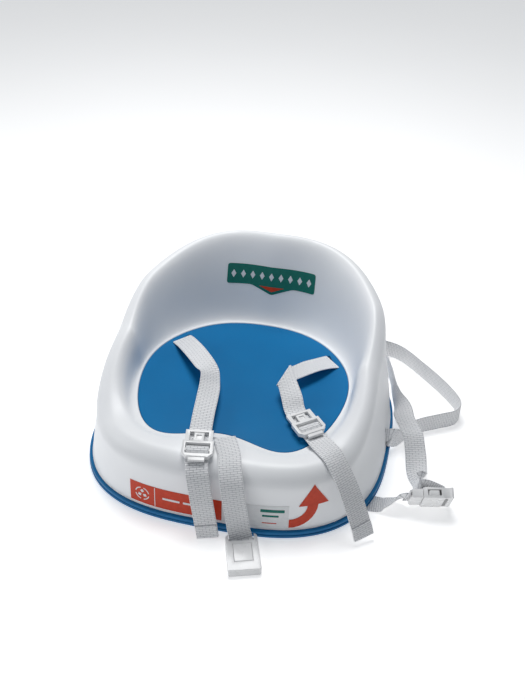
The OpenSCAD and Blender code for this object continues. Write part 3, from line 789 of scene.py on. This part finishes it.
def round_bar(turns):
    """Stations round the crotch buckle's bar, at these angles from the top."""
    r = CROTCH_BAR_R + BAR_GAP
    return tuple((tuple(in_crotch @ Vector((0, CROTCH_BAR[0] + r * math.sin(math.radians(t)),
                                            CROTCH_BAR[1] + r * math.cos(math.radians(t))))), crotch_across)
                 for t in turns)


CROTCH = (
    ((0.0051, -0.1210, 0.0876), (1, 0, 0)),
    ((0.0116, -0.1340, 0.0880), (1, 0.05, 0)),
    ((0.0178, -0.1480, 0.0876), (0.99, 0.1, 0)),
    ((0.0220, -0.1620, 0.0846), (0.98, 0.14, 0)),
    ((0.0270, -0.1750, 0.0740), (0.97, 0.18, 0)),
    ((0.0310, -0.1810, 0.0560), (0.96, 0.22, 0)),
    ((0.0350, -0.1840, 0.0360), (0.95, 0.28, 0)),
    ((0.0380, -0.1860, 0.0180), (0.945, 0.32, 0)),
    *round_bar((-10, -60, -120, -180, -240)))

CLIP_PLACE = Vector((0.213, -0.092, 0.0184))
CLIP_TURN = 13.4
CLIP_LEAN = 26
in_clip = (Matrix.Translation(CLIP_PLACE) @ Matrix.Rotation(math.radians(CLIP_TURN), 4, "Z")
           @ Matrix.Rotation(math.radians(CLIP_LEAN), 4, "X"))
CLIP_ACROSS = tuple(in_clip.to_3x3() @ Vector((0, 0, 1)))


def at_clip(x, y, z=0.0):
    return tuple(in_clip @ Vector((x, y, z)))


LOOP = (
    ((0.0509, 0.1346, 0.0225), (0, 0, 1)),
    ((0.0580, 0.1680, 0.0225), (0, 0, 1)),
    ((0.0620, 0.1860, 0.0210), (0, 0, 1)),
    ((0.0760, 0.1970, 0.0160), (0, 0, 1)),
    ((0.1080, 0.2010, 0.0132), (0, 0, 1)),
    ((0.1460, 0.1960, 0.0130), (0, 0, 1)),
    ((0.1760, 0.1860, 0.0130), (0, 0, 1)),
    ((0.2080, 0.1560, 0.0130), (0, 0, 1)),
    ((0.2340, 0.1280, 0.0130), (0, 0, 1)),
    ((0.2530, 0.1030, 0.0130), (0, 0, 1)),
    ((0.2610, 0.0840, 0.0130), (0, 0, 1)),
    ((0.2560, 0.0680, 0.0130), (0, 0, 1)),
    ((0.2380, 0.0560, 0.0130), (0, 0, 1)),
    ((0.2140, 0.0410, 0.0130), (0, 0, 1)),
    ((0.2000, 0.0270, 0.0130), (0, 0, 1)),
    ((0.1910, 0.0120, 0.0130), (0, 0, 1)),
    ((0.1855, 0.0050, 0.0176), (0, 0, 1)),
    ((0.1820, 0.0010, 0.0224), (0, 0, 1)),
    ((0.1740, -0.0010, 0.0230), (0, 0, 1)),
    ((0.1400, -0.0010, 0.0225), (0, 0, 1)))
LONG = (
    ((0.0821, 0.1220, 0.0225), (0, 0, 1)),
    ((0.1040, 0.1600, 0.0225), (0, 0, 1)),
    ((0.1140, 0.1770, 0.0210), (0, 0, 1)),
    ((0.1320, 0.1840, 0.0160), (0, 0, 1)),
    ((0.1520, 0.1720, 0.0135), (0, 0, 1)),
    ((0.1660, 0.1400, 0.0135), (0, 0, 1)),
    ((0.1750, 0.1050, 0.0140), (0.1, 0, 1)),
    ((0.1830, 0.0760, 0.0185), (0.3, 0.1, 0.95)),
    ((0.1900, 0.0520, 0.0250), (0.8, 0.25, 0.45)),
    ((0.1940, 0.0340, 0.0286), (0.96, 0.25, 0.05)),
    ((0.2020, 0.0160, 0.0290), (0.97, 0.25, 0)),
    ((0.2080, 0.0020, 0.0284), (0.97, 0.25, 0)),
    ((0.2140, -0.0180, 0.0170), (0.96, 0.25, 0.1)),
    ((0.2180, -0.0380, 0.0100), (0.88, 0.25, 0.4)),
    ((0.2230, -0.0540, 0.0120), (0.55, 0.1, 0.83)),
    (at_clip(0.015, 0.019, -0.002), CLIP_ACROSS),
    (at_clip(0.024, 0.0155), CLIP_ACROSS),
    (at_clip(0.032, 0.012), CLIP_ACROSS),
    (at_clip(0.039, 0.008), CLIP_ACROSS),
    (at_clip(0.0406, 0.002), CLIP_ACROSS))
SHORT = (
    ((0.1040, -0.0960, 0.0160), (0, -1, 0)),
    ((0.1040, -0.0960, 0.0060), (0, -1, 0)),
    ((0.1080, -0.0960, 0.0022), (0, -1, 0)),
    ((0.1180, -0.0960, 0.0017), (0, -1, 0)),
    ((0.1760, -0.0960, 0.0017), (0, -1, 0)),
    ((0.1880, -0.0950, 0.0055), (0, -0.96, 0.28)),
    ((0.1990, -0.0940, 0.0120), (0.05, -0.8, 0.6)),
    (at_clip(-0.006, 0), CLIP_ACROSS),
    (at_clip(-0.001, 0), CLIP_ACROSS),
    (at_clip(0.005, 0), CLIP_ACROSS))


def make_straps():
    strap("lap_webbing_left", LAP_LEFT, "lap_belt_left", "lap_strap_left", hemmed=True)
    strap("lap_webbing_right", LAP_RIGHT, "lap_belt_right", "lap_strap_right", hemmed=True)
    strap("crotch_webbing", CROTCH, "crotch_belt", "crotch_strap")
    strap("chair_webbing_loop", LOOP, "seat", "chair_strap_loop")
    strap("chair_webbing_long", LONG, "seat", "chair_strap_long")
    strap("chair_webbing_short", SHORT, "seat", "chair_strap_short")


# ---- Webbing over the bars of the lap tongues ------------------------------
TONGUE_WRAP = ((-0.0052, -0.0002), (-0.0042, 0.0015), (-0.0026, 0.0031), (-0.0008, 0.0036), (0.0017, 0.0036),
               (0.0036, 0.0031), (0.0052, 0.0015), (0.0062, -0.0002))



def make_tongue_wrap(name, body, place, turn, tilt):
    """The short run of webbing that shows in a tongue's window, over its bar."""
    pose = (Matrix.Translation(place) @ Matrix.Rotation(math.radians(turn), 4, "Z")
            @ Matrix.Rotation(math.radians(tilt), 4, "X"))
    across = tuple(pose.to_3x3() @ Vector((1, 0, 0)))
    stations = tuple((tuple(pose @ Vector((0, y, z))), across) for y, z in TONGUE_WRAP)
    obj = ribbon(name, stations, thick=WEB_T * 0.9)
    return finish_piece(obj, WEBBING, body)


# ---- Printed labels ---------------------------------------------------------
def rounded_outline(corners, radius, steps=5):
    """The corners of a polygon, each rounded off by an arc-like curve."""
    corners = [np.array(c, float) for c in corners]
    out = []
    for i, c in enumerate(corners):
        before, after = corners[i - 1], corners[(i + 1) % len(corners)]
        a = c + unit(before - c) * min(radius, np.linalg.norm(before - c) * 0.45)
        b = c + unit(after - c) * min(radius, np.linalg.norm(after - c) * 0.45)
        for t in np.linspace(0, 1, steps + 1):
            out.append((1 - t) ** 2 * a + 2 * t * (1 - t) * c + t * t * b)
    return out


def inside(point, outline):
    hit = False
    for (x0, y0), (x1, y1) in zip(outline, outline[1:] + outline[:1]):
        if (y0 > point[1]) != (y1 > point[1]) and point[0] < (x1 - x0) * (point[1] - y0) / (y1 - y0) + x0:
            hit = not hit
    return hit


def dense(outline, step=0.0015):
    """The outline with extra points, so that a label can follow a curved face."""
    out = []
    for a, b in zip(outline, outline[1:] + outline[:1]):
        count = max(1, int(np.linalg.norm(np.subtract(b, a)) / step))
        out += [tuple(np.add(a, np.multiply(np.subtract(b, a), t / count))) for t in range(count)]
    return out


def label(name, outline, surface, start_y, material, thick, step=0.003):
    """A thin film on a surface, from an outline in X and Z thrown along +Y from start_y."""
    edge = dense([tuple(p) for p in outline])
    low, high = np.min(edge, axis=0), np.max(edge, axis=0)
    grid = [(x, z) for x in np.arange(low[0] + step / 2, high[0], step)
            for z in np.arange(low[1] + step / 2, high[1], step)]
    core = [p for p in grid if inside(p, edge) and min(math.dist(p, e) for e in edge) > step * 0.4]
    plan = [Vector(p) for p in edge + core]
    spots, _, faces, *_ = delaunay_2d_cdt(plan, [], [list(range(len(edge)))], 1, 1e-7)
    points, outward = [], []
    for spot in spots:
        found, normal, _, _ = surface.ray_cast(Vector((spot[0], start_y, spot[1])), Vector((0, 1, 0)))
        if normal.y > 0:
            normal = -normal
        points.append(found)
        outward.append(normal)
    count = len(points)
    bottom = [p - n * 0.0001 for p, n in zip(points, outward)]
    top = [p + n * thick for p, n in zip(points, outward)]
    tris = [tuple(f) for f in faces]
    border = {}
    for f in tris:
        for a, b in zip(f, f[1:] + f[:1]):
            border[(a, b)] = border.get((a, b), 0) + 1
    rim = [(a, b) for (a, b) in border if (b, a) not in border]
    walls = [(a, b, b + count, a + count) for a, b in rim]
    shell = [tuple(v + count for v in f) for f in tris] + [f[::-1] for f in tris] + [w[::-1] for w in walls]
    obj = make_object(name, bottom + top, shell)
    face_outwards(obj)
    crease(obj, 40)
    return finish_piece(obj, material, "seat")


def shift(points, dx, dz):
    return [(x + dx, z + dz) for x, z in points]


def disc(radius, sides=20):
    return [(radius * math.cos(a), radius * math.sin(a)) for a in np.arange(sides) * 2 * math.pi / sides]


def make_labels(shell):
    surface = BVHTree.FromObject(shell, bpy.context.evaluated_depsgraph_get())
    make_back_label(surface)
    make_front_labels(surface)


def make_back_label(surface):
    """The green badge with a red chevron, and a plain row of dots in place of words."""
    half, low, high = 0.0575, 0.1275, 0.1535
    badge = rounded_outline([(-half, low), (-0.026, low), (0.001, low - 0.011), (0.029, low), (half, low),
                             (half, high), (-half, high)], 0.0035)
    label("badge_green", badge, surface, 0.0, GREEN, 0.0004)
    chevron = [(-0.0155, low - 0.0004), (0.0175, low - 0.0004), (0.001, low - 0.0068)]
    label("badge_chevron", chevron, surface, 0.0, RED, 0.0007, 0.002)
    for i, x in enumerate(np.linspace(-half + 0.008, half - 0.008, 9)):
        diamond = [(x - 0.0032, 0.1405), (x, 0.1352), (x + 0.0032, 0.1405), (x, 0.1458)]
        label(f"badge_mark_{i}", diamond, surface, 0.0, WHITE_PRINT, 0.0006, 0.002)


def make_front_labels(surface):
    """The red and white stickers and the red arrow along the front."""
    start = -0.26
    low, high = 0.0125, 0.0405
    red = [(-0.093, low), (0.0150, low), (0.0150, high), (-0.093, high)]
    label("sticker_red", red, surface, start, RED, 0.0004)
    label("sticker_divider", [(-0.0628, low + 0.001), (-0.0620, low + 0.001), (-0.0620, high - 0.001),
                              (-0.0628, high - 0.001)], surface, start, WHITE_PRINT, 0.0006)
    centre = (-0.0778, 0.0265)
    ring = disc(0.0088, 28)
    hole = disc(0.0076, 28)
    for i in range(4):
        arc = ring[i * 7 + 1:i * 7 + 7] + hole[i * 7 + 1:i * 7 + 7][::-1]
        label(f"emblem_arc_{i}", shift(arc, *centre), surface, start, WHITE_PRINT, 0.0006, 0.002)
    petal = [(0, 0.0012), (0.0024, 0.0036), (0, 0.0062), (-0.0024, 0.0036)]
    for i in range(3):
        turn = i * 2 * math.pi / 3
        c, s = math.cos(turn), math.sin(turn)
        leaf = [(x * c - z * s, x * s + z * c) for x, z in petal]
        label(f"emblem_leaf_{i}", shift(leaf, *centre), surface, start, WHITE_PRINT, 0.0006, 0.002)
    for i, (x, half) in enumerate(((-0.043, 0.010), (-0.020, 0.009))):
        corners = [(x - half, 0.0262), (x + half, 0.0262), (x + half, 0.0288), (x - half, 0.0288)]
        bar = rounded_outline(corners, 0.001)
        label(f"sticker_bar_{i}", bar, surface, start, WHITE_PRINT, 0.0006, 0.002)
    label("sticker_white", [(0.0155, low), (0.0885, low), (0.0885, high + 0.003), (0.0155, high + 0.001)],
          surface, start, WHITE_PRINT, 0.0003)
    for i, (x0, x1, z0, z1) in enumerate(((0.058, 0.084, 0.034, 0.038), (0.060, 0.078, 0.0275, 0.0300),
                                          (0.060, 0.076, 0.0180, 0.0192))):
        bar = rounded_outline([(x0, z0), (x1, z0), (x1, z1), (x0, z1)], 0.0008)
        label(f"sticker_line_{i}", bar, surface, start, RED if i == 2 else GREEN, 0.0005, 0.002)
    label("sticker_arrow", arrow_outline(), surface, start, RED, 0.0006)


def arrow_outline():
    """A bent arrow: a tail to the left that curves up into a pointed head."""
    x, z = 0.0890, 0.0425
    outer = [(x + 0.0290 * math.sin(t), z - 0.0300 * math.cos(t)) for t in np.linspace(0, math.pi / 2, 9)]
    inner = [(x + 0.0185 * math.sin(t), z - 0.0185 * math.cos(t)) for t in np.linspace(math.pi / 2, 0, 7)]
    head = [(0.1280, 0.0425), (0.1128, 0.0705), (0.0985, 0.0425)]
    return outer + head + inner


# ---- CAD nodes that stay ----------------------------------------------------
def dress(node, material, radius=0.0):
    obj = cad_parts[node]
    obj.data.materials.clear()
    obj.data.materials.append(material)
    if radius:
        soften(obj, radius)


def dress_cad_nodes():
    for node in ("lap_tongue_left", "lap_tongue_right", "crotch_buckle_body", "crotch_buckle_cover",
                 "crotch_button", "chair_clip_male", "chair_clip_female", "chair_clip_prong_upper",
                 "chair_clip_prong_lower"):
        dress(node, BUCKLE, 0.0005)
    dress("inner_frame", FRAME, 0.0)
    for node in ("base_screws", "lap_anchor_bar_left", "lap_anchor_bar_right", "crotch_anchor_bar",
                 "chair_anchor_bars", "crotch_button_spring"):
        dress(node, STEEL, 0.0002)
    for node in ("lap_tether_left", "lap_tether_right", "crotch_tether"):
        dress(node, WEBBING, 0.0002)


# ---- Floor, lights and camera ----------------------------------------------
def area_light(name, place, target, size, watts, colour=(1, 1, 1)):
    data = bpy.data.lights.new(name, "AREA")
    data.energy = watts
    data.shape = "DISK"
    data.size = size
    data.color = colour
    lamp = bpy.data.objects.new(name, data)
    lamp.location = place
    lamp.rotation_euler = (Vector(target) - Vector(place)).to_track_quat("-Z", "Y").to_euler()
    bpy.context.scene.collection.objects.link(lamp)


def make_stage():
    half = 9
    corners = [(-half, -half, 0), (half, -half, 0), (half, half, 0), (-half, half, 0)]
    floor = make_object("floor", corners, [(0, 1, 2, 3)], False)
    floor.data.materials.append(floor_material())
    area_light("key_above_behind", (-0.12, 0.4, 1.3), (0, 0, 0.08), 0.7, 12)
    area_light("fill_left", (-1.3, -0.7, 0.8), (0, 0, 0.08), 0.9, 5, (0.97, 0.98, 1))
    world = bpy.data.worlds.new("studio")
    world.use_nodes = True
    backdrop = world.node_tree.nodes["Background"]
    backdrop.inputs["Color"].default_value = (0.85, 0.92, 1, 1)
    backdrop.inputs["Strength"].default_value = 0.2
    bpy.context.scene.world = world
    bpy.context.scene.view_settings.view_transform = "Standard"


def make_camera():
    data = bpy.data.cameras.new("camera")
    data.lens = 47.07
    data.sensor_width = 36
    data.sensor_fit = "AUTO"
    camera = bpy.data.objects.new("camera", data)
    camera.location = (0.2028, -0.8483, 0.7662)
    look = Vector((0.0194, 0, 0.1238)) - camera.location
    level = look.to_track_quat("-Z", "Y").to_matrix().to_4x4()
    roll = Matrix.Rotation(math.radians(1.4), 4, "Z")
    camera.rotation_euler = (level @ roll).to_euler()
    bpy.context.scene.collection.objects.link(camera)
    bpy.context.scene.camera = camera


make_camera()
make_stage()
shell = make_shell()
make_pad()
make_tray()
make_grip_ring()
make_straps()
make_tongue_wrap("tongue_wrap_left", "lap_tongue_left", (-0.0173, -0.1500, 0.0886), 9.8, 8)
make_tongue_wrap("tongue_wrap_right", "lap_tongue_right", (0.0935, -0.0848, 0.0885), 40, 0)
make_labels(shell)
dress_cad_nodes()
